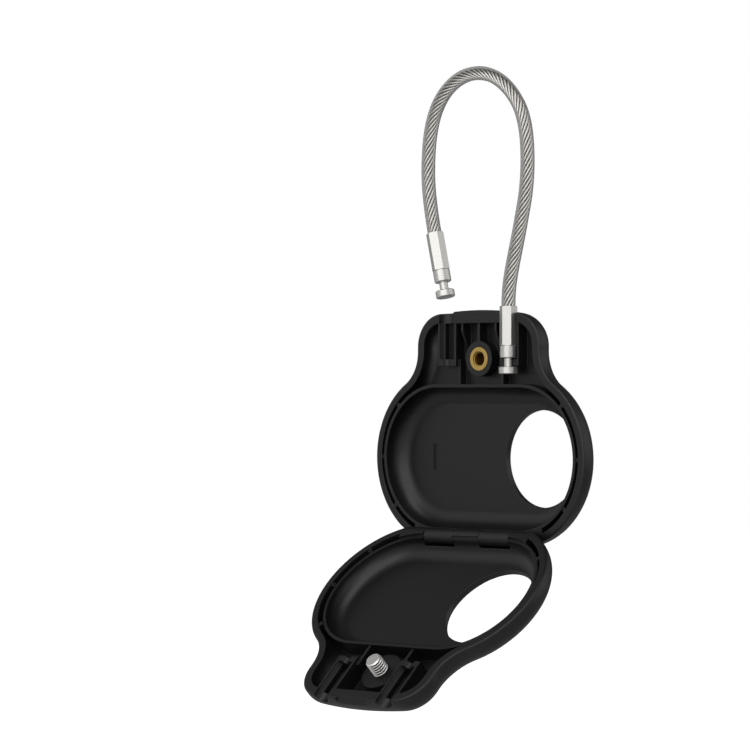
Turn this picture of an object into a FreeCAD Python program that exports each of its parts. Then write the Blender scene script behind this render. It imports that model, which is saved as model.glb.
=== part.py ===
import FreeCAD, Part
import math
import os

Vec = FreeCAD.Vector
X, Y, Z = Vec(1, 0, 0), Vec(0, 1, 0), Vec(0, 0, 1)

# All lengths in mm. The shells are drawn with the hinge line along X at z = 0, the rear shell
# behind the parting plane y = 0 and the front shell, drawn closed, ahead of it.

# Size of what the pocket holds, and the room round it
tag_length = 52.44
tag_width = 28.8
tag_thick = 8.0
tag_clear = 0.3

# Half shells
end_wall = 3.06
side_wall = 3.57
flare_r = 8.0
neck_half_w = 17.4
neck_corner_r = 7.0
neck_side = 0.98
neck_shoulder = 7.65
floor_t = 1.5
edge_round = 4.5
rim_round = 0.4
pocket_blend = 3.4
core_blend = 1.2
rim_w = 1.65
neck_rim_extra = 0.3
rear_neck_floor = 3.0
rear_neck_blend = 1.8
neck_floor_drop = 2.0
lip_t = 0.68
front_lip_recess = 0.7
parting_gap = 0.1
rib_recess = 0.25
overrun = 1.0

# Ring opening through both floors
ring_hole_in = 11.78
ring_hole_r = 10.05
hole_round = 0.4

# Groove round the pocket lip, and the tabs across it
groove_end_x = 18.0
tab_w = 0.9
tab_recess = 0.3
tab_angles = (-40.0, 0.0, 44.0)

# Shallow recess on the rear pocket floor
mark_x = 16.1
mark_l = 5.3
mark_w = 1.2
mark_depth = 0.35

# Cable end fittings
hex_af = 3.25
hex_l = 8.1
hex_proud = 0.7
collar_d = 3.55
collar_l = 2.6
stem_d = 1.8
stem_l = 1.8
flange_d = 4.0
flange_l = 1.5
fitting_chamfer = 0.15

# Cradles for the end fittings
cradle_x = 8.9
cradle_clear = 0.08
trough_clear = 0.2
notch_clear = 0.12
seat_gap = 0.2
ledge_recess = 0.6
slot_half_w = 1.5
slot_depth = 2.7
outer_rib_t = 0.45
inner_rib_t = 0.55
end_bar_t = 2.7

# Other neck ribs
foot_rib_x = 6.1
foot_rib_t = 0.6
foot_rib_recess = 1.1
spine_t = 0.6
gusset_x = 4.76
gusset_t = 0.5
gusset_l = 1.6
gusset_foot_l = 7.6
gusset_foot_recess = 3.2

# Nail nick in the edge of the front neck
nick_half_w = 4.4
nick_in = 0.8
nick_depth = 1.4

# Clamp screw, its washer, and the insert that it screws into
boss_drop = 10.13
rear_boss_r = 3.7
rear_boss_recess = 0.5
front_boss_r = 4.55
front_boss_recess = 2.4
thread_d = 3.5
thread_depth = 0.32
thread_pitch = 0.6
thread_turns = 5
tip_l = 0.5
shank_d = 2.6
head_d = 6.4
head_l = 1.5
head_clear = 0.2
socket_af = 2.5
socket_depth = 1.0
screw_travel = 3.0
screw_clear = 0.06
washer_d = 5.8
washer_t = 0.5
washer_clear = 0.05
insert_d = 5.0
insert_l = 4.0
insert_mouth = 0.2
press_clear = 0.01

# Hinge
hinge_drop = 1.87
hinge_out = 1.9
barrel_r = 1.75
pin_r = 0.6
pin_clear = 0.05
pin_inset = 0.4
knuckle_in = 3.7
knuckle_out = 12.0
knuckle_gap = 0.15
barrel_clear = 0.5
web_low = 0.8
web_high = 1.5
relief_clear = 0.15
stop_clear = 0.15
open_angle = 134.0

# Cable: a wire rope in a clear jacket
jacket_d = 2.9
rope_d = 2.2
rope_clear = 0.02
grip_l = 6.0
exit_run = 2.9

# Worked-out sizes
pocket_r = tag_width / 2 + tag_clear
pocket_arc_x = tag_length / 2 - tag_width / 2
ring_hole_x = tag_length / 2 - ring_hole_in
pocket_depth = tag_thick / 2 + tag_clear
shell_depth = pocket_depth + floor_t
body_r = pocket_r + side_wall
body_arc_x = pocket_arc_x + pocket_r + end_wall - body_r
mid_z = body_r - hinge_drop
flare_x = neck_half_w + flare_r
flare_z = mid_z + math.sqrt((body_r + flare_r) ** 2 - (flare_x - body_arc_x) ** 2)
corner_x = neck_half_w - neck_corner_r
corner_z = flare_z + neck_side
neck_top_z = corner_z + neck_shoulder
crown_r = ((corner_x ** 2 + neck_shoulder ** 2 - neck_corner_r ** 2)
           / (2 * (neck_shoulder - neck_corner_r)))
crown_z = neck_top_z - crown_r
parting_y = parting_gap / 2
lip_top_z = mid_z + pocket_r + lip_t
end_wall_z = neck_top_z - end_bar_t

fitting_top_z = neck_top_z + hex_proud
hex_corner_r = hex_af / math.sqrt(3)
channel_half_w = flange_d / 2 + cradle_clear
bar_top_z = fitting_top_z - hex_l - collar_l - seat_gap
bar_low_z = bar_top_z - (stem_l - 2 * seat_gap)

boss_z = neck_top_z - boss_drop
thread_r = thread_d / 2
shank_r = shank_d / 2
seat_y = shell_depth - head_l - washer_t
thread_l = thread_pitch * thread_turns + tip_l
relief_r = hinge_out + parting_y - relief_clear

# Route of the cable, in x and z, from its free end over the loop to the held end
cable_route = [(-12.2, 63.6), (-13.35, 68.4), (-14.3, 76.7), (-13.3, 86.5), (-9.8, 92.8),
               (-3.8, 96.4), (3.3, 96.4), (9.4, 92.8), (13.8, 86.2), (14.5, 74.2),
               (12.0, 63.4), (9.8, 55.4), (cradle_x, fitting_top_z + exit_run),
               (cradle_x, fitting_top_z)]
split_run = 5
arc_share = 0.45

# The part hangs from the top of its loop, inside the cable's bend: that point is the origin
hang = Vec((cable_route[split_run][0] + cable_route[split_run + 1][0]) / 2, 0,
           cable_route[split_run][1] - jacket_d / 2)


def box(x0, x1, y0, y1, z0, z1):
    return Part.makeBox(x1 - x0, y1 - y0, z1 - z0, Vec(x0, y0, z0))


def rod(r, start, along, length):
    return Part.makeCylinder(r, length, start, along)


def prism(wire, y0, y1):
    face = Part.Face(wire)
    face.translate(Vec(0, y0, 0))
    return face.extrude(Vec(0, y1 - y0, 0))


def floor_edges(solid, y):
    return [e for e in solid.Edges if all(abs(v.Y - y) < press_clear for v in e.Vertexes)]


def arc(cx, cz, r, a0, a1):
    # Arc in the x-z plane about (cx, cz), from angle a0 to a1, angles from +x towards +z
    pts = [Vec(cx + r * math.cos(a), 0, cz + r * math.sin(a)) for a in (a0, (a0 + a1) / 2, a1)]
    return Part.Arc(*pts).toShape()


def line(a, b):
    return Part.LineSegment(Vec(a[0], 0, a[1]), Vec(b[0], 0, b[1])).toShape()


def outline(inset, neck_extra=0):
    # Shell outline, moved inwards by inset, and by neck_extra more along the neck
    r, fr = body_r - inset, flare_r + inset
    side, kr = neck_half_w - inset - neck_extra, neck_corner_r - inset - neck_extra
    cr = crown_r - inset - neck_extra
    fx = side + fr
    fz = mid_z + math.sqrt((r + fr) ** 2 - (fx - body_arc_x) ** 2)
    join = math.atan2(fz - mid_z, fx - body_arc_x)
    top = math.atan2(corner_z - crown_z, corner_x)
    turn = math.pi
    edges = [line((-body_arc_x, mid_z - r), (body_arc_x, mid_z - r)),
             arc(body_arc_x, mid_z, r, -turn / 2, join),
             arc(fx, fz, fr, turn + join, turn),
             line((side, fz), (side, corner_z)),
             arc(corner_x, corner_z, kr, 0, top),
             arc(0, crown_z, cr, top, turn - top),
             arc(-corner_x, corner_z, kr, turn - top, turn),
             line((-side, corner_z), (-side, fz)),
             arc(-fx, fz, fr, 0, -join),
             arc(-body_arc_x, mid_z, r, turn - join, turn + turn / 2)]
    return Part.Wire(Part.__sortEdges__(edges))


def stadium(r):
    x, z0, z1 = pocket_arc_x, mid_z - r, mid_z + r
    turn = math.pi / 2
    return Part.Wire([line((-x, z0), (x, z0)), arc(x, mid_z, r, -turn, turn),
                      line((x, z1), (-x, z1)), arc(-x, mid_z, r, turn, turn + math.pi)])


def floored(wire, y0, y1, r):
    # Prism from y0 to y1 with its edge at y1 rounded
    solid = prism(wire, y0, y1)
    return solid.makeFillet(r, floor_edges(solid, y1))


def revolved(points, at):
    # Solid of revolution about Y through at, from (radius, y) points
    wire = Part.makePolygon([Vec(r, y, 0) for r, y in points + points[:1]])
    solid = Part.Face(wire).revolve(Vec(0, 0, 0), Y, 360)
    solid.translate(at)
    return solid


def hexagon(af, start, along, length):
    # Hexagonal bar with two corners on the plane through start, square to X
    r = af / math.sqrt(3)
    side = along.cross(X)
    pts = [start + side * (r * math.cos(math.radians(a))) + X * (r * math.sin(math.radians(a)))
           for a in range(0, 420, 60)]
    return Part.Face(Part.makePolygon(pts)).extrude(along * length)


def tabs():
    # Bridges across the groove, at both ends of the pocket
    out = []
    for end in (-1, 1):
        for a in tab_angles:
            tab = box(pocket_r, body_r, tab_recess, shell_depth, -tab_w / 2, tab_w / 2)
            tab.rotate(Vec(0, 0, 0), Y, -a if end > 0 else a - 180)
            tab.translate(Vec(end * pocket_arc_x, 0, mid_z))
            out.append(tab)
    return out


def cradle(x):
    # Two ribs, the bed between them and a notched bar, which hold one end fitting
    rib_z = end_wall_z + rib_recess
    low, high = rib_recess, shell_depth
    out = 1 if x > 0 else -1
    walls = [(x - out * channel_half_w, -out * inner_rib_t), (x + out * channel_half_w, out * outer_rib_t)]
    parts = [box(min(a, a + t), max(a, a + t), low, high, bar_low_z, rib_z) for a, t in walls]
    parts.append(box(x - channel_half_w, x + channel_half_w, ledge_recess, high, bar_top_z, rib_z))
    bar = box(x - channel_half_w - outer_rib_t / 2, x + channel_half_w + outer_rib_t / 2,
              low, high, bar_low_z, bar_top_z)
    parts.append(bar.cut(rod(stem_d / 2 + notch_clear, Vec(x, 0, bar_low_z), Z, bar_top_z - bar_low_z)))
    foot = out * foot_rib_x
    parts.append(box(foot - foot_rib_t / 2, foot + foot_rib_t / 2, foot_rib_recess, high,
                     lip_top_z - lip_t / 2, bar_top_z))
    return parts


def inside(parts):
    # Ribs and bosses, kept to the middle of the wall that they stand on
    skin = rim_w / 2
    room = floored(outline(skin), parting_y, shell_depth - floor_t / 2, edge_round - skin)
    return [p.common(room) for p in parts]


def half_shell(neck_floor, neck_blend):
    # What both shells share, drawn as the rear one, with the floor of its neck at neck_floor
    shell = floored(outline(0), parting_y, shell_depth, edge_round)
    shell = shell.makeFillet(rim_round, floor_edges(shell, parting_y))
    inner = outline(rim_w, neck_rim_extra)
    core = floored(inner, -overrun, pocket_depth, core_blend)
    neck_zone = box(-flare_x, flare_x, -2 * overrun, shell_depth, lip_top_z - neck_floor_drop, neck_top_z)
    neck = floored(inner, -overrun, neck_floor, neck_blend).common(neck_zone)
    core = core.cut(neck_zone).fuse(neck)
    hinge_zone = box(-groove_end_x, groove_end_x, -overrun, shell_depth, -hinge_drop - overrun, mid_z)
    keep = [prism(stadium(pocket_r + lip_t), -overrun, shell_depth), hinge_zone]
    shell = shell.cut(core.cut(keep + tabs()))
    bar_half_w = cradle_x + channel_half_w + outer_rib_t
    end_bar = box(-bar_half_w, bar_half_w, parting_y, shell_depth, end_wall_z, neck_top_z)
    ribs = cradle(-cradle_x) + cradle(cradle_x) + [end_bar]
    shell = shell.fuse(inside(ribs))
    # Each cradle's bed is a half-round trough, with a slot along its bottom
    troughs = [rod(hex_corner_r + trough_clear, Vec(x, 0, bar_top_z), Z, neck_top_z + overrun - bar_top_z)
               for x in (-cradle_x, cradle_x)]
    troughs += [box(x - slot_half_w, x + slot_half_w, parting_y, slot_depth, bar_top_z, end_wall_z)
                for x in (-cradle_x, cradle_x)]
    pocket = floored(stadium(pocket_r), -overrun, pocket_depth, pocket_blend)
    ring_hole = rod(ring_hole_r, Vec(ring_hole_x, -overrun, mid_z), Y, shell_depth + 2 * overrun)
    shell = shell.cut(troughs + [pocket, ring_hole])
    mouth = [e for e in floor_edges(shell, shell_depth)
             if abs(e.BoundBox.XLength / 2 - ring_hole_r) < press_clear]
    return shell.makeFillet(hole_round, mouth)


def knuckles(r, x0, x1, web_z0, web_z1):
    # Barrels at both ends of the hinge with the webs that carry them
    out = []
    for a, b in ((-x1, -x0), (x0, x1)):
        out.append(rod(r, Vec(a, -hinge_out, 0), X, b - a))
        out.append(box(a, b, -hinge_out, parting_y + lip_t, -web_z0, web_z1))
    return out


def rear_shell(half):
    shell = half.fuse(knuckles(barrel_r, knuckle_in, knuckle_out, web_low, web_high))
    y0, y1, z1 = rear_boss_recess, shell_depth, end_wall_z + rib_recess
    boss = rod(rear_boss_r, Vec(0, y0, boss_z), Y, y1 - y0)
    spine = box(-spine_t / 2, spine_t / 2, y0, y1, boss_z, z1)
    extras = [boss, spine]
    for x in (-gusset_x, gusset_x):
        corners = ((y0, z1), (y1, z1), (y1, end_wall_z - gusset_foot_l),
                   (gusset_foot_recess, end_wall_z - gusset_foot_l), (y0, end_wall_z - gusset_l))
        pts = [Vec(x - gusset_t / 2, y, z) for y, z in corners]
        extras.append(Part.Face(Part.makePolygon(pts + pts[:1])).extrude(X * gusset_t))
    shell = shell.fuse(inside(extras))
    cuts = [rod(insert_d / 2 + press_clear, Vec(0, rear_boss_recess - overrun, boss_z), Y,
                insert_l + overrun),
            rod(pin_r + press_clear, Vec(-knuckle_out + pin_inset, -hinge_out, 0), X,
                2 * (knuckle_out - pin_inset))]
    cuts.append(box(-mark_x - mark_w / 2, -mark_x + mark_w / 2, pocket_depth - overrun,
                    pocket_depth + mark_depth, mid_z - mark_l / 2, mid_z + mark_l / 2))
    return shell.cut(cuts).removeSplitter()


def front_shell(half):
    shell = half.mirror(Vec(0, 0, 0), Y)
    floor_y = -pocket_depth - floor_t / 2
    boss = rod(front_boss_r, Vec(0, floor_y, boss_z), Y, -floor_y - front_boss_recess)
    shell = shell.fuse(boss)
    end_x = body_arc_x + body_r
    corner = box(-end_x, end_x, -hinge_out, overrun, -hinge_drop - overrun, 0)
    corner = corner.cut(rod(relief_r, Vec(-end_x, -hinge_out, 0), X, 2 * end_x))
    # Room for the rear shell's hinge edge when the shells stand open
    stop = box(-end_x, end_x, parting_y - stop_clear, shell_depth, -hinge_drop - stop_clear, hinge_drop)
    stop.rotate(Vec(0, -hinge_out, 0), X, -open_angle)
    # Between the rear knuckles the edge is a barrel, and the lip stands lower than the rim all round
    barrel_half_w = knuckle_in - knuckle_gap
    over_barrel = box(-barrel_half_w, barrel_half_w, -hinge_out, overrun, 0, relief_r)
    over_barrel = over_barrel.cut(rod(relief_r, Vec(-barrel_half_w, -hinge_out, 0), X, 2 * barrel_half_w))
    lip_top = prism(stadium(pocket_r + lip_t), -front_lip_recess, overrun)
    cuts = [corner, stop, over_barrel, lip_top,
            rod(shank_r + screw_clear, Vec(0, -shell_depth, boss_z), Y, shell_depth),
            rod(head_d / 2 + head_clear, Vec(0, -shell_depth - overrun, boss_z), Y,
                shell_depth + overrun - seat_y),
            rod(pin_r + pin_clear, Vec(-knuckle_in, -hinge_out, 0), X, 2 * knuckle_in)]
    slope = [(nick_depth, neck_top_z - 2 * nick_in), (-2 * nick_depth, neck_top_z + nick_in),
             (nick_depth, neck_top_z + nick_in)]
    pts = [Vec(-nick_half_w, y, z) for y, z in slope]
    cuts.append(Part.Face(Part.makePolygon(pts + pts[:1])).extrude(X * 2 * nick_half_w))
    cuts += knuckles(barrel_r + barrel_clear, knuckle_in - knuckle_gap, knuckle_out + knuckle_gap,
                     barrel_r + barrel_clear, web_high + pocket_blend / 2)
    return shell.cut(cuts).removeSplitter()


def clamp_screw():
    # Captive screw, drawn backed out: its thread rests against the front boss
    base = -front_boss_recess
    under = -seat_y - screw_travel - washer_t
    root_r = thread_r - thread_depth
    pts = [(0, under - head_l), (head_d / 2, under - head_l), (head_d / 2, under),
           (shank_r, under), (shank_r, base)]
    for i in range(thread_turns):
        y = base + i * thread_pitch
        pts += [(thread_r, y), (thread_r, y + thread_pitch / 4),
                (root_r, y + thread_pitch / 2), (root_r, y + thread_pitch * 3 / 4)]
    tip = base + thread_l
    pts += [(thread_r, tip - tip_l), (thread_r - tip_l, tip), (0, tip)]
    screw = revolved(pts, Vec(0, 0, boss_z))
    return screw.cut(hexagon(socket_af, Vec(0, under - head_l, boss_z), Y, socket_depth))


def screw_washer():
    y1 = -seat_y - screw_travel
    ring = rod(washer_d / 2, Vec(0, y1 - washer_t, boss_z), Y, washer_t)
    return ring.cut(rod(shank_r + washer_clear, Vec(0, y1 - washer_t, boss_z), Y, washer_t))


def threaded_insert():
    y0, y1 = rear_boss_recess, rear_boss_recess + insert_l
    bore = thread_r + screw_clear
    return revolved([(bore + insert_mouth, y0), (insert_d / 2, y0), (insert_d / 2, y1), (bore, y1),
                     (bore, y0 + insert_mouth)], Vec(0, 0, boss_z))


def end_fitting():
    # Hexagonal sleeve, collar, stem and flange, top at the origin and running down -Z
    c = fitting_chamfer
    z1 = -hex_l - collar_l
    z2 = z1 - stem_l
    z3 = z2 - flange_l
    cr, sr, fr = collar_d / 2, stem_d / 2, flange_d / 2
    pts = [(0, -hex_l), (cr - c, -hex_l), (cr, -hex_l - c), (cr, z1 + c), (cr - c, z1), (sr, z1), (sr, z2),
           (fr - c, z2), (fr, z2 - c), (fr, z3 + c), (fr - c, z3), (0, z3)]
    wire = Part.makePolygon([Vec(r, 0, z) for r, z in pts + pts[:1]])
    turned = Part.Face(wire).revolve(Vec(0, 0, 0), Z, 360)
    sleeve = hexagon(hex_af, Vec(0, 0, -hex_l), Z, hex_l)
    cone = Part.makeCone(hex_corner_r + hex_l, hex_corner_r - c, hex_l + c, Vec(0, 0, -hex_l - c), Z)
    fitting = turned.fuse(sleeve.common(cone)).removeSplitter()
    return fitting.cut(rod(rope_d / 2 + rope_clear, Vec(0, 0, -grip_l), Z, grip_l))


def cable_paths(extra):
    # Straight runs joined by tangent arcs, as two paths that meet half way along the top run;
    # each end is carried on by extra along its own run
    p = [Vec(x, 0, z) for x, z in cable_route]
    runs = [(b - a) for a, b in zip(p, p[1:])]
    steps = [r.Length for r in runs]
    units = [r * (1 / r.Length) for r in runs]
    p[0] = p[0] - units[0] * extra
    p[-1] = p[-1] + units[-1] * extra
    halves, radii, start = [[]], [], p[0]
    for i in range(1, len(p) - 1):
        t = arc_share * min(steps[i - 1], steps[i])
        a, b = p[i] - units[i - 1] * t, p[i] + units[i] * t
        half_turn = units[i - 1].getAngle(units[i]) / 2
        r = t / math.tan(half_turn)
        inward = (units[i] - units[i - 1]).normalize()
        mid = p[i] + inward * (r / math.cos(half_turn) - r)
        if i == split_run + 1:
            cut = (p[split_run] + p[i]) * 0.5
            halves[-1].append(Part.LineSegment(start, cut).toShape())
            halves.append([])
            start = cut
        halves[-1].append(Part.LineSegment(start, a).toShape())
        halves[-1].append(Part.Arc(a, mid, b).toShape())
        radii.append(r)
        start = b
    halves[-1].append(Part.LineSegment(start, p[-1]).toShape())
    return [Part.Wire(h) for h in halves], radii


def tube(path, r):
    start = path.Edges[0]
    along = start.tangentAt(start.FirstParameter)
    ring = Part.Wire(Part.makeCircle(r, start.valueAt(start.FirstParameter), along))
    solid = path.makePipeShell([ring], True, False)
    print("tube r %.2f: volume %.3f, section x length %.3f"
          % (r, solid.Volume, math.pi * r * r * path.Length))
    return solid


os.makedirs("parts", exist_ok=True)

shapes = {"rear_shell": rear_shell(half_shell(rear_neck_floor, rear_neck_blend)),
          "front_shell": front_shell(half_shell(pocket_depth, pocket_blend)),
          "hinge_pin": rod(pin_r, Vec(-knuckle_out + pin_inset, -hinge_out, 0), X,
                           2 * (knuckle_out - pin_inset)),
          "threaded_insert": threaded_insert(), "clamp_screw": clamp_screw(),
          "screw_washer": screw_washer()}

# The front shell and what it carries stand open
for name in ("front_shell", "clamp_screw", "screw_washer"):
    shapes[name].rotate(Vec(0, -hinge_out, 0), X, open_angle)

held = end_fitting()
held.translate(Vec(cradle_x, 0, fitting_top_z))
shapes["held_fitting"] = held
free = end_fitting()
rise = Vec(cable_route[1][0] - cable_route[0][0], 0, cable_route[1][1] - cable_route[0][1])
free.rotate(Vec(0, 0, 0), Y, math.degrees(math.atan2(rise.x, rise.z)))
free.translate(Vec(cable_route[0][0], 0, cable_route[0][1]))
shapes["free_fitting"] = free

sleeve_paths, radii = cable_paths(0)
rope_paths, _ = cable_paths(grip_l)
print("cable radii", [round(r, 1) for r in radii])
print("cable length", round(sum(w.Length for w in sleeve_paths), 1))
for name, sleeve, rope in zip(("free", "held"), sleeve_paths, rope_paths):
    shapes["rope_" + name] = tube(rope, rope_d / 2)
    shapes["jacket_" + name] = tube(sleeve, jacket_d / 2).cut(tube(sleeve, rope_d / 2 + rope_clear))

for name, shape in shapes.items():
    shape.translate(-hang)
    b = shape.BoundBox
    print("%-16s %d solid, valid %s, volume %.2f, x %.2f %.2f y %.2f %.2f z %.2f %.2f"
          % (name, len(shape.Solids), shape.isValid(), shape.Volume,
             b.XMin, b.XMax, b.YMin, b.YMax, b.ZMin, b.ZMax))
    shape.exportStep("parts/" + name + ".step")
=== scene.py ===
import bpy
import math
from mathutils import Matrix, Vector
from mathutils.kdtree import KDTree


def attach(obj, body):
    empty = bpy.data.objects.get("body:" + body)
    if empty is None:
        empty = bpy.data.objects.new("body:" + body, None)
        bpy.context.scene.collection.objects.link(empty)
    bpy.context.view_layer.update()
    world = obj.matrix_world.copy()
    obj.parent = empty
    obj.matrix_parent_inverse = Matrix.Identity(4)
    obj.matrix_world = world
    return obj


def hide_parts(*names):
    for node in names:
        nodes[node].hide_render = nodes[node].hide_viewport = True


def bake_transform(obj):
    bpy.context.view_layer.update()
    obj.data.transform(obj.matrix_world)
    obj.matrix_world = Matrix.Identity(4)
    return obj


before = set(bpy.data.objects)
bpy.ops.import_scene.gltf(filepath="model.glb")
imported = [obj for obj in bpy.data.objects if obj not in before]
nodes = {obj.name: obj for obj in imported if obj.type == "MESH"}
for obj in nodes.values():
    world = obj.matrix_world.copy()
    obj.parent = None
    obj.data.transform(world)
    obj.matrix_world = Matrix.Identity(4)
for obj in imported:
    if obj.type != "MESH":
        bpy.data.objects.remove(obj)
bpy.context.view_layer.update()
mm = 0.001
metresToMm = (1000, 1000, 1000)

# places that several pieces share, in mm from the hinge line's middle
holderSet = {"loopTop": (-0.25, 0.0, 94.95), "hinge": (0, -1.9, 0), "openAngle": 134, "bossZ": 37.07}

loopTop = Vector(holderSet["loopTop"])
hinge = Vector(holderSet["hinge"])
openAngle = math.radians(holderSet["openAngle"])
bossZ = holderSet["bossZ"]


def place(x, y, z):
    # mm from the hinge line's middle, to metres in the CAD frame
    return (Vector((x, y, z)) - loopTop) * mm


def deselect():
    if bpy.context.object and bpy.context.object.mode == "EDIT":
        bpy.ops.object.mode_set(mode="OBJECT")
    bpy.ops.object.select_all(action="DESELECT")


def pick(active, *others):
    deselect()
    for obj in (active, *others):
        obj.select_set(True)
    bpy.context.view_layer.objects.active = active


def join(first, *others):
    pick(first, *others)
    bpy.ops.object.join()
    return bpy.context.object


def editAll(obj):
    # edit mode, with every vertex selected
    pick(obj)
    bpy.ops.object.mode_set(mode="EDIT")
    bpy.ops.mesh.select_mode(type="VERT")
    bpy.ops.mesh.select_all(action="SELECT")


def editWhere(obj, test):
    # edit mode, with the vertices that pass the test selected
    editAll(obj)
    bpy.ops.mesh.select_all(action="DESELECT")
    bpy.ops.object.mode_set(mode="OBJECT")
    for v in obj.data.vertices:
        v.select = bool(test(v))
    bpy.ops.object.mode_set(mode="EDIT")


def applyAll(obj):
    pick(obj)
    for modifier in list(obj.modifiers):
        bpy.ops.object.modifier_apply(modifier=modifier.name)


def closeUp(obj, sharp=40, weld=2e-6):
    # merge doubles closer than weld, point faces outwards and keep edges over sharp degrees crisp
    editAll(obj)
    bpy.ops.mesh.remove_doubles(threshold=weld)
    bpy.ops.mesh.normals_make_consistent(inside=False)
    bpy.ops.object.mode_set(mode="OBJECT")
    bpy.ops.object.shade_smooth_by_angle(angle=math.radians(sharp))


def wear(obj, material):
    obj.data.materials.clear()
    obj.data.materials.append(material)


# camera at the photograph's place
cameraSet = {"aim": (-0.01464, -0.01505, -0.06125), "turn": 44.937, "tilt": -0.231,
             "distance": 0.72577, "lens": 167.8, "sensor": 36.0, "near": 0.01}

turn = math.radians(cameraSet["turn"])
tilt = math.radians(cameraSet["tilt"])
look = Vector((-math.sin(turn) * math.cos(tilt), math.cos(turn) * math.cos(tilt), -math.sin(tilt)))
deselect()
bpy.ops.object.camera_add(location=Vector(cameraSet["aim"]) - look * cameraSet["distance"],
                          rotation=(math.pi / 2 - tilt, 0, turn))
camera = bpy.context.object
camera.name = "photoCamera"
camera.data.lens = cameraSet["lens"]
camera.data.sensor_width = cameraSet["sensor"]
camera.data.clip_start = cameraSet["near"]
bpy.context.scene.camera = camera
print("camera placed")


class Wire:
    # one shader socket: sums on it add Math nodes, node() adds any other node
    def __init__(self, tree, socket):
        self.tree = tree
        self.socket = socket

    def node(self, kind, settings=None, out=0, **values):
        # values go to sockets by name, with _ for a space, or by number as i0, i1
        made = self.tree.nodes.new("ShaderNode" + kind)
        for key, value in (settings or {}).items():
            setattr(made, key, value)
        for key, value in values.items():
            numbered = key[0] == "i" and key[1:].isdigit()
            socket = made.inputs[int(key[1:]) if numbered else key.replace("_", " ")]
            if isinstance(value, Wire):
                self.tree.links.new(value.socket, socket)
            else:
                socket.default_value = value
        return Wire(self.tree, made.outputs[out])

    def sum(self, how, a, b=0.0):
        return self.node("Math", {"operation": how}, i0=a, i1=b)

    def __add__(self, other):
        return self.sum("ADD", self, other)

    def __radd__(self, other):
        return self.sum("ADD", other, self)

    def __sub__(self, other):
        return self.sum("SUBTRACT", self, other)

    def __rsub__(self, other):
        return self.sum("SUBTRACT", other, self)

    def __mul__(self, other):
        return self.sum("MULTIPLY", self, other)

    def __rmul__(self, other):
        return self.sum("MULTIPLY", other, self)

    def __pow__(self, other):
        return self.sum("POWER", self, other)

    def __abs__(self):
        return self.sum("ABSOLUTE", self)

    def larger(self, other):
        return self.sum("MAXIMUM", self, other)

    def dot(self, other):
        return self.node("VectorMath", {"operation": "DOT_PRODUCT"}, out="Value", i0=self, i1=other)

    def stretch(self, *scale):
        return self.node("VectorMath", {"operation": "MULTIPLY"}, i0=self, i1=scale)

    def noise(self, scale, detail, **more):
        return self.node("TexNoise", Vector=self, Scale=scale, Detail=detail, **more)

    def blend(self, low, high):
        # a colour from low to high, with this socket as the share of high
        return self.node("Mix", {"data_type": "RGBA"}, out=2, Factor=self, i6=low, i7=high)

    def ease(self, start, stop):
        # 0 at start, 1 at stop, smooth between
        return self.node("MapRange", {"interpolation_type": "SMOOTHSTEP"},
                         Value=self, From_Min=start, From_Max=stop)

    def parts(self):
        split = self.node("SeparateXYZ", Vector=self)
        return [Wire(self.tree, out) for out in split.socket.node.outputs]


def distance(a, b):
    return (a * a + b * b) ** 0.5


def finish(name, **constants):
    # a new material: its shader, and Object coordinates to start from
    material = bpy.data.materials.new(name)
    material.use_nodes = True
    tree = material.node_tree
    shader = next(n for n in tree.nodes if n.type == "BSDF_PRINCIPLED")
    for key, value in constants.items():
        shader.inputs[key.replace("_", " ")].default_value = value
    coords = tree.nodes.new("ShaderNodeTexCoord")
    return material, shader, Wire(tree, coords.outputs["Object"])


def feed(shader, **links):
    tree = shader.id_data
    for key, wire in links.items():
        tree.links.new(wire.socket, shader.inputs[key.replace("_", " ")])


# cable: one smooth route from the held fitting over the loop to the free fitting, x and z in mm
cableSet = {"route": [(8.9, 47.9), (8.9, 50.8), (9.8, 55.4), (12.0, 63.4), (14.5, 74.2),
                      (13.8, 86.2), (9.4, 92.8), (3.3, 96.4), (-3.8, 96.4), (-9.8, 92.8),
                      (-13.3, 86.5), (-14.3, 76.7), (-13.35, 68.4), (-12.2, 63.6)],
            "jacket": 2.9, "rope": 2.5, "wires": 9, "wire": 0.56, "coreShare": 0.85, "lay": 12.0,
            "length": 97.5, "fineness": 48, "jacketRound": 6, "wireRound": 3,
            "bendFrom": (0.007, 0, 0), "bendTo": (-0.007, 0, 0)}


def curveAlong(name, kind, points, radius=0.0, rounding=0):
    # a line along the points, or a tube round it where a radius is given
    curve = bpy.data.curves.new(name, "CURVE")
    curve.dimensions = "3D"
    spline = curve.splines.new(kind)
    spline.points.add(len(points) - 1)
    for slot, point in zip(spline.points, points):
        slot.co = (*point, 1)
    if kind == "NURBS":
        spline.order_u = 3
        spline.use_endpoint_u = True
        curve.resolution_u = cableSet["fineness"]
    curve.bevel_depth = radius
    curve.bevel_resolution = rounding
    curve.use_fill_caps = radius > 0
    obj = bpy.data.objects.new(name, curve)
    bpy.context.scene.collection.objects.link(obj)
    return obj


def tubeAlong(name, kind, points, radius, rounding):
    tube = curveAlong(name, kind, points, radius, rounding)
    pick(tube)
    bpy.ops.object.convert(target="MESH")
    made = bpy.context.object
    closeUp(made, sharp=50, weld=1e-7)
    return made


routePoints = [place(x, 0, z) for x, z in cableSet["route"]]
centreCurve = curveAlong("centreLine", "NURBS", routePoints)
bpy.context.view_layer.update()
centreMesh = bpy.data.meshes.new_from_object(centreCurve)
centre = [v.co.copy() for v in centreMesh.vertices]
bpy.data.objects.remove(centreCurve)
bpy.data.meshes.remove(centreMesh)
if (centre[0] - routePoints[0]).length > (centre[-1] - routePoints[0]).length:
    centre.reverse()
print("cable route has", len(centre), "points")

jacket = tubeAlong("clearJacket", "NURBS", routePoints, cableSet["jacket"] / 2 * mm,
                   cableSet["jacketRound"])


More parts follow.
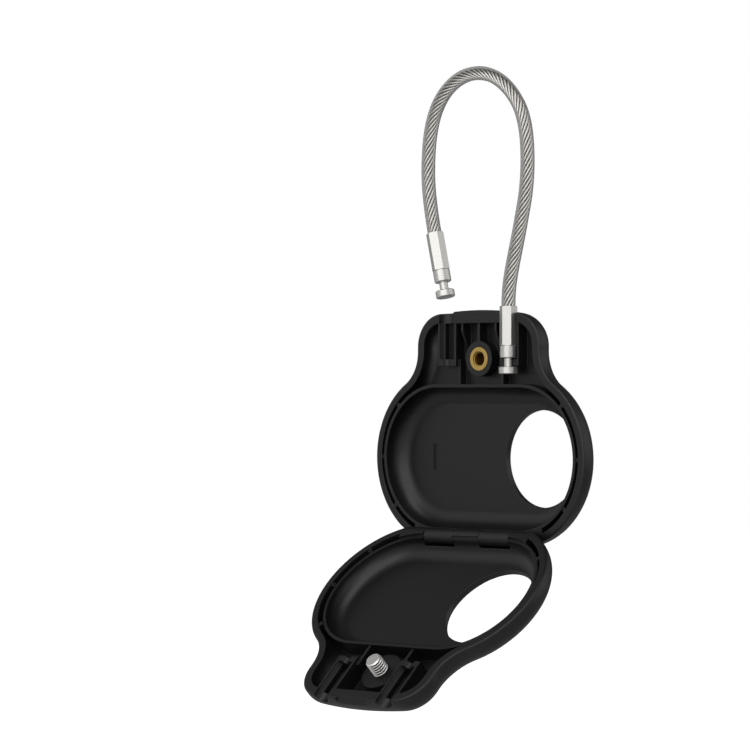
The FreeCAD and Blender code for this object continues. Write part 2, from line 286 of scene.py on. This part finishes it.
def ropeWire(name, radius, swing, phase):
    # one wire of the rope, wound round the cable's centre line
    points = []
    run = 0.0
    for i, point in enumerate(centre):
        before = centre[max(i - 1, 0)]
        after = centre[min(i + 1, len(centre) - 1)]
        ahead = (after - before).normalized()
        run += (point - before).length
        angle = phase + 2 * math.pi * run / (cableSet["lay"] * mm)
        sideways = Vector((ahead.z, 0, -ahead.x))
        outward = sideways * math.cos(angle) + Vector((0, 1, 0)) * math.sin(angle)
        points.append(point + outward * swing)
    return tubeAlong(name, "POLY", points, radius, cableSet["wireRound"])


wireRadius = cableSet["wire"] / 2 * mm
swing = cableSet["rope"] / 2 * mm - wireRadius
wires = [ropeWire("ropeWire%d" % k, wireRadius, swing, 2 * math.pi * k / cableSet["wires"])
         for k in range(cableSet["wires"])]
wires.append(ropeWire("ropeCore", swing * cableSet["coreShare"], 0.0, 0.0))
rope = join(*wires)
rope.name = rope.data.name = "wireRope"
line = KDTree(len(centre))
for i, point in enumerate(centre):
    line.insert(point, i)
line.balance()
reaches = rope.data.attributes.new("reach", "FLOAT", "POINT")  # mm from the rope's middle
reaches.data.foreach_set("value", [line.find(v.co)[2] / mm for v in rope.data.vertices])
print("cable made:", len(rope.data.polygons), "rope faces")

for piece, held, free in ((jacket, "jacket_held", "jacket_free"), (rope, "rope_held", "rope_free")):
    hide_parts(held, free)
    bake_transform(piece)

# clear vinyl round the rope, harder to see through at the tube's rim
vinylSet = {"colour": (0.42, 0.42, 0.41, 1), "clear": 0.06, "rim": 0.86, "rimFrom": 0.32, "rimTo": 0.6}

vinyl, shader, at = finish("clearVinyl", Base_Color=vinylSet["colour"])
cloud = at.noise(260.0, 3.0)
rim = at.node("LayerWeight", out="Facing", Blend=0.5).ease(vinylSet["rimFrom"], vinylSet["rimTo"])
feed(shader, Roughness=0.16 + cloud * 0.08, Alpha=vinylSet["clear"] + rim * vinylSet["rim"])
wear(jacket, vinyl)

# drawn steel wire, with painted shade in the gaps between the wires, nearer to the rope's middle
wireSet = {"dark": (0.50, 0.485, 0.46, 1), "light": (0.68, 0.66, 0.63, 1),
           "between": (0.08, 0.075, 0.07, 1), "betweenFrom": 1.12, "betweenTo": 0.97}

wireSteel, shader, at = finish("drawnWire", Metallic=1.0)
streak = at.noise(900.0, 3.0)
reach = at.node("Attribute", {"attribute_name": "reach"}, out="Fac")
# painted shade: the wire colour is darker in the gaps between the wires, where shade falls
between = reach.ease(wireSet["betweenFrom"], wireSet["betweenTo"])
drawn = streak.blend(wireSet["dark"], wireSet["light"])
feed(shader, Base_Color=between.blend(drawn, wireSet["between"]), Roughness=0.26 + streak * 0.12)
wear(rope, wireSteel)


# threads and turned pieces are drawn as a profile and swept round Z, in mm
def drawProfile(name, points):
    deselect()
    bpy.ops.mesh.primitive_plane_add(size=mm)
    obj = bpy.context.object
    obj.name = obj.data.name = name
    editAll(obj)
    bpy.ops.mesh.merge(type="CENTER")
    last = Vector((0, 0, 0))
    for i, (r, z) in enumerate(points):
        step = Vector((r, 0, z)) * mm - last
        last += step
        if i == 0:
            bpy.ops.transform.translate(value=step)
        else:
            bpy.ops.mesh.extrude_vertices_move(TRANSFORM_OT_translate={"value": step})
    bpy.ops.object.mode_set(mode="OBJECT")
    return obj


def sweep(obj, rise=0.0, turns=1, steps=64):
    screw = obj.modifiers.new("sweep", "SCREW")
    screw.axis = "Z"
    screw.screw_offset = rise * mm
    screw.iterations = turns
    screw.steps = screw.render_steps = steps
    screw.use_merge_vertices = True
    screw.merge_threshold = 1e-6
    applyAll(obj)
    return obj


def threadAlong(name, valley, ridge, start, sizes):
    # a thread that winds up from start, its flanks at shares of the pitch
    radii = (valley, valley, ridge, ridge, valley, valley)
    points = [(r, start + share * sizes["pitch"]) for r, share in zip(radii, sizes["flanks"])]
    return sweep(drawProfile(name, points), sizes["pitch"], sizes["turns"], sizes["steps"])


def cutAt(obj, z, keepAbove, fill):
    editAll(obj)
    bpy.ops.mesh.bisect(plane_co=(0, 0, z * mm), plane_no=(0, 0, 1), use_fill=fill, threshold=1e-8,
                        clear_inner=keepAbove, clear_outer=not keepAbove)
    bpy.ops.object.mode_set(mode="OBJECT")


def toRadius(v, r):
    # move a vertex straight out from Z, or in, to the radius r in metres
    reach = math.hypot(v.co.x, v.co.y)
    v.co.x = v.co.x * r / reach
    v.co.y = v.co.y * r / reach


def settle(obj, matrix):
    # put the piece in its place and leave its object at the origin
    pick(obj)
    obj.matrix_world = matrix
    bpy.context.view_layer.update()
    bpy.ops.object.transform_apply(location=True, rotation=True, scale=True)


# clamp screw, drawn up Z from the front boss
screwSet = {"crest": 1.75, "root": 1.43, "pitch": 0.6, "turns": 8, "steps": 48,
            "flanks": (-1.0, -0.88, -0.56, -0.44, -0.12, 0.0), "base": -2.4, "length": 3.5,
            "tip": 0.3, "runOut": 0.12, "shank": 1.3, "shankTop": 0.1, "under": -4.9,
            "head": 3.2, "headLength": 1.5, "headEdge": 0.12, "headRound": 0.35, "headRoundMid": 0.1,
            "socket": 2.5, "socketDepth": 1.0}

crest = screwSet["crest"]
screw = threadAlong("clampScrew", screwSet["root"], crest, 0.0, screwSet)
cutAt(screw, 0, keepAbove=True, fill=True)
cutAt(screw, screwSet["length"], keepAbove=False, fill=True)
for v in screw.data.vertices:  # turned chamfers at the tip and at the run-out
    tipEdge = crest - screwSet["tip"] + screwSet["length"] - v.co.z / mm
    runOutEdge = crest - screwSet["runOut"] + v.co.z / mm
    edge = min(tipEdge, runOutEdge) * mm
    if math.hypot(v.co.x, v.co.y) > edge:
        toRadius(v, edge)
closeUp(screw, sharp=35)

under = screwSet["under"]
headEnd = under - screwSet["headLength"]
shankR = screwSet["shank"]
headR = screwSet["head"]
headEdge = screwSet["headEdge"]
headRound = screwSet["headRound"]
roundMid = screwSet["headRoundMid"]
shank = sweep(drawProfile("screwShank", [(0, screwSet["shankTop"]), (shankR, screwSet["shankTop"]),
                                         (shankR, under), (headR - headEdge, under),
                                         (headR, under - headEdge), (headR, headEnd + headRound),
                                         (headR - roundMid, headEnd + roundMid),
                                         (headR - headRound, headEnd), (0, headEnd)]))
closeUp(shank)
deselect()
bpy.ops.mesh.primitive_cylinder_add(vertices=6, radius=screwSet["socket"] / math.sqrt(3) * mm,
                                    depth=2 * screwSet["socketDepth"] * mm,
                                    location=(0, 0, headEnd * mm))
drive = bpy.context.object
hole = shank.modifiers.new("socket", "BOOLEAN")
hole.object = drive
hole.operation = "DIFFERENCE"
applyAll(shank)
bpy.data.objects.remove(drive)
closeUp(shank)
screw = join(screw, shank)
hingeAt = place(*hinge)
openTurn = (Matrix.Translation(hingeAt) @ Matrix.Rotation(openAngle, 4, "X")
            @ Matrix.Translation(-hingeAt))
upright = Matrix.Translation(place(0, screwSet["base"], bossZ)) @ Matrix.Rotation(-math.pi / 2, 4, "X")
settle(screw, openTurn @ upright)
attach(screw, "screw")
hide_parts("clamp_screw")
print("clamp screw made:", len(screw.data.polygons), "faces")

# brass insert in the rear boss, its mouth at z 0 and its bore threaded
insertSet = {"bore": 1.46, "groove": 1.79, "pitch": 0.6, "turns": 11, "steps": 48,
             "flanks": (0.0, 0.3, 0.43, 0.57, 0.7, 1.0), "from": -5.8, "length": 4.0, "outer": 2.5,
             "mouth": 1.62, "mouthDepth": 0.16, "edge": 0.06, "sink": 0.5}

length = insertSet["length"]
outer = insertSet["outer"]
insert = threadAlong("brassInsert", insertSet["groove"], insertSet["bore"], insertSet["from"], insertSet)
cutAt(insert, -insertSet["mouthDepth"], keepAbove=False, fill=False)
cutAt(insert, -length, keepAbove=True, fill=False)
top = -insertSet["mouthDepth"] * mm
rings = [(insertSet["mouth"], 0.0), (outer - insertSet["edge"], 0.0), (outer, -insertSet["edge"]),
         (outer, -length)]
editWhere(insert, lambda v: abs(v.co.z - top) < 1e-7)
for r, z in rings:
    bpy.ops.mesh.extrude_region_move()
    bpy.ops.object.mode_set(mode="OBJECT")
    for v in insert.data.vertices:
        if v.select:
            toRadius(v, r * mm)
            v.co.z = z * mm
    bpy.ops.object.mode_set(mode="EDIT")
bpy.ops.object.mode_set(mode="OBJECT")
editWhere(insert, lambda v: v.co.z < -(length - 0.001) * mm)  # both rims of the far end
bpy.ops.mesh.bridge_edge_loops()
bpy.ops.object.mode_set(mode="OBJECT")
closeUp(insert, sharp=35)
upright = Matrix.Translation(place(0, insertSet["sink"], bossZ)) @ Matrix.Rotation(math.pi / 2, 4, "X")
settle(insert, upright)
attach(insert, "rear")
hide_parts("threaded_insert")
print("brass insert made:", len(insert.data.polygons), "faces")


def closedPlace(at, opened):
    # mm from the hinge line's middle, with the front shell turned shut
    back = Matrix.Rotation(-openAngle if opened else 0.0, 3, "X")
    return at.node("Mapping", Vector=at, Location=back @ (loopTop - hinge) + hinge,
                   Rotation=back.to_euler(), Scale=metresToMm)


# brass: turned, with painted shade darker down its bore
brassSet = {"dark": (0.47, 0.31, 0.085, 1), "light": (0.64, 0.45, 0.145, 1),
            "boreShadeColour": (0.16, 0.075, 0.015, 1), "boreShade": 0.75, "boreShadeDeep": (0.55, 1.9),
            "boreShadeAcross": (2.2, 1.9)}

brass, shader, at = finish("brass", Metallic=1.0)
across, deep, up = closedPlace(at, False).parts()
reach = distance(across, up - bossZ)
# painted shade: the brass darkens deeper down the bore and nearer its middle
inBore = deep.ease(*brassSet["boreShadeDeep"]) * reach.ease(*brassSet["boreShadeAcross"])
boreShade = inBore * brassSet["boreShade"]
lines = at.node("TexNoise", {"noise_dimensions": "1D"}, W=reach * 9.0 + deep * 5.0,
                Scale=1.0, Detail=2.0)
patch = at.noise(700.0, 3.0)
clean = patch.blend(brassSet["dark"], brassSet["light"])
feed(shader, Base_Color=boreShade.blend(clean, brassSet["boreShadeColour"]), Roughness=0.26 + patch * 0.16,
     Normal=at.node("Bump", Strength=0.12, Distance=0.00002, Height=lines))
wear(insert, brass)

# zinc on the screw, the washer and the pin, with painted shade in the roots of the screw's thread
zincSet = {"dark": (0.62, 0.61, 0.595, 1), "light": (0.77, 0.76, 0.74, 1),
           "threadShade": (0.03, 0.03, 0.03, 1), "threadShadeAcross": (1.58, 1.48),
           "threadFrom": (-2.5, -2.4), "threadTo": (0.85, 0.75)}

screwSteel, shader, at = finish("screwSteel", Metallic=0.78)
across, deep, up = closedPlace(at, True).parts()
reach = distance(across, up - bossZ)
inThread = deep.ease(*zincSet["threadFrom"]) * deep.ease(*zincSet["threadTo"])
# painted shade: dark near the thread's roots, along the threaded length
threadShade = reach.ease(*zincSet["threadShadeAcross"]) * inThread
patch = at.noise(1200.0, 3.0)
plated = patch.blend(zincSet["dark"], zincSet["light"])
feed(shader, Base_Color=threadShade.blend(plated, zincSet["threadShade"]), Roughness=0.34 + patch * 0.14,
     Normal=at.node("Bump", Strength=0.08, Distance=0.00002, Height=patch))
wear(screw, screwSteel)
wear(nodes["screw_washer"], screwSteel)
wear(nodes["hinge_pin"], screwSteel)

# satin nickel: the sleeve drawn lengthwise, the collar and flange turned
nickelSet = {"dark": (0.50, 0.49, 0.465, 1), "light": (0.64, 0.63, 0.605, 1), "sleeve": 8.1,
             "turnedLines": (0.4, 0.4, 11), "drawnLines": (9, 9, 0.35), "edge": 0.00012}


def turnedNickel(name, top, lean):
    # top is the sleeve's end at the cable, lean its tilt in the loop's plane
    material, shader, at = finish(name, Metallic=0.9)
    upright = Matrix.Rotation(-lean, 3, "Y")
    own = at.node("Mapping", Vector=at, Location=-(upright @ top) / mm, Rotation=(0, -lean, 0),
                  Scale=metresToMm)
    along = own.parts()[2]
    turned = along.ease(-nickelSet["sleeve"] + 0.02, -nickelSet["sleeve"] - 0.02)
    rings = own.stretch(*nickelSet["turnedLines"]).noise(1.0, 3.0)
    drawn = own.stretch(*nickelSet["drawnLines"]).noise(1.0, 3.0)
    marks = drawn * (1 - turned) + rings * turned
    patch = own.noise(0.7, 4.0)
    edge = at.node("Bevel", {"samples": 6}, Radius=nickelSet["edge"])
    feed(shader, Base_Color=(patch * 0.6 + marks * 0.4).blend(nickelSet["dark"], nickelSet["light"]),
         Roughness=0.27 + patch * 0.08 + marks * 0.08,
         Normal=at.node("Bump", Strength=0.10, Distance=0.00002, Height=marks, Normal=edge))
    return material


(heldX, heldZ), (freeX, freeZ), (nextX, nextZ) = (cableSet["route"][k] for k in (0, -1, -2))
freeLean = math.atan2(nextX - freeX, nextZ - freeZ)
wear(nodes["held_fitting"], turnedNickel("heldNickel", place(heldX, 0, heldZ), 0.0))
wear(nodes["free_fitting"], turnedNickel("freeNickel", place(freeX, 0, freeZ), freeLean))

# moulded black plastic: grained outside, smooth in the pocket, rubbed a little along its edges
plasticSet = {"dark": (0.0024, 0.0024, 0.0026, 1), "light": (0.0036, 0.0036, 0.0040, 1),
              "rubbed": (0.008, 0.008, 0.0085, 1), "edge": 0.0002, "rubFrom": 0.02, "rubTo": 0.3,
              "pocket": 14.7, "pocketArc": 11.82, "pocketFloor": 4.3, "middle": 16.4}


def shellPlastic(name, opened):
    material, shader, at = finish(name, Specular_IOR_Level=0.42)
    closed = closedPlace(at, opened)
    across, deep, up = closed.parts()
    beyond = (abs(across) - plasticSet["pocketArc"]).larger(0.0)
    reach = distance(beyond, up - plasticSet["middle"])
    inside = reach.ease(plasticSet["pocket"] + 0.1, plasticSet["pocket"] - 0.1)
    aboveFloor = abs(deep).ease(plasticSet["pocketFloor"] + 0.4, plasticSet["pocketFloor"] + 0.2)
    inPocket = inside * aboveFloor
    grain = closed.noise(4.4, 2.0, Roughness=0.6)
    flow = closed.noise(0.11, 3.0)
    rounded = at.node("Bevel", {"samples": 6}, Radius=plasticSet["edge"])
    edge = 1 - rounded.dot(at.node("NewGeometry", out="Normal"))
    rub = edge.ease(plasticSet["rubFrom"], plasticSet["rubTo"]) * (0.25 + flow * 0.5)
    black = flow.blend(plasticSet["dark"], plasticSet["light"])
    feed(shader, Base_Color=rub.blend(black, plasticSet["rubbed"]),
         Roughness=0.36 + grain * 0.08 - inPocket * 0.05 + flow * 0.06 - rub * 0.08,
         Normal=at.node("Bump", Strength=0.3, Distance=0.000025,
                        Height=grain * (1 - inPocket * 0.85), Normal=rounded))
    return material


wear(nodes["rear_shell"], shellPlastic("rearPlastic", False))
wear(nodes["front_shell"], shellPlastic("frontPlastic", True))
print("materials made")

# studio: floor, lamps and white sheets; a sheet is its direction, where it fades in and its level
studioSet = {"floorZ": -0.26, "floorSize": 6.0, "floorColour": (0.85, 0.85, 0.85, 1),
             "floorGlow": 0.55, "farGlow": 0.42, "farFrom": 0.3, "farTo": 1.2, "room": 0.12,
             "sheets": [((0.906, 0.423, 0.0), 0.34, 0.94, 0.9),
                        ((-0.762, -0.64, -0.1), 0.3, 0.95, 0.65)],
             "lamps": [("frontBox", (0.31, -0.77, 0.27), (1.3, 0.9), 6.2),
                       ("overhead", (0.2, -0.35, 0.80), (0.6, 0.6), 2.4)],
             "lampAim": (0, -0.01, -0.07)}

deselect()
bpy.ops.mesh.primitive_plane_add(size=studioSet["floorSize"], location=(0, 0, studioSet["floorZ"]))
floor = bpy.context.object
floor.name = "studioFloor"
floorPaint, shader, at = finish("floorPaint", Base_Color=studioSet["floorColour"], Roughness=0.9)
tree = floorPaint.node_tree
seen = at.node("LightPath", out="Is Camera Ray")
far = at.node("VectorMath", {"operation": "LENGTH"}, out="Value", i0=at)
far = far.ease(studioSet["farFrom"], studioSet["farTo"])  # all white further off
glow = at.node("Emission", Strength=seen * (studioSet["floorGlow"] + far * studioSet["farGlow"]))
mixed = at.node("AddShader", i0=Wire(tree, shader.outputs[0]), i1=glow)
surface = next(n for n in tree.nodes if n.type == "OUTPUT_MATERIAL")
tree.links.new(mixed.socket, surface.inputs["Surface"])
wear(floor, floorPaint)

lampAim = Vector(studioSet["lampAim"])
for name, spot, size, power in studioSet["lamps"]:
    lamp = bpy.data.lights.new(name, "AREA")
    lamp.shape = "RECTANGLE"
    lamp.size, lamp.size_y = size
    lamp.energy = power
    obj = bpy.data.objects.new(name, lamp)
    obj.location = spot
    obj.rotation_euler = (lampAim - Vector(spot)).to_track_quat("-Z", "Y").to_euler()
    bpy.context.scene.collection.objects.link(obj)

# the camera sees white all round; what shines or lets light through sees the sheets in a dim room
world = bpy.data.worlds.new("studio")
bpy.context.scene.world = world
world.use_nodes = True
tree = world.node_tree
away = Wire(tree, tree.nodes.new("ShaderNodeTexCoord").outputs["Generated"])
seen, shine, through = (away.node("LightPath", out="Is %s Ray" % kind)
                        for kind in ("Camera", "Glossy", "Transmission"))
glint = 0.0
for aim, start, stop, level in studioSet["sheets"]:
    glint = away.dot(aim).ease(start, stop) * level + glint
level = seen.larger(studioSet["room"] + glint * shine.larger(through))
backdrop = next(n for n in tree.nodes if n.type == "BACKGROUND")
backdrop.inputs["Color"].default_value = (1, 1, 1, 1)
tree.links.new(level.socket, backdrop.inputs["Strength"])
bpy.context.scene.view_settings.view_transform = "Standard"
print("studio lit")
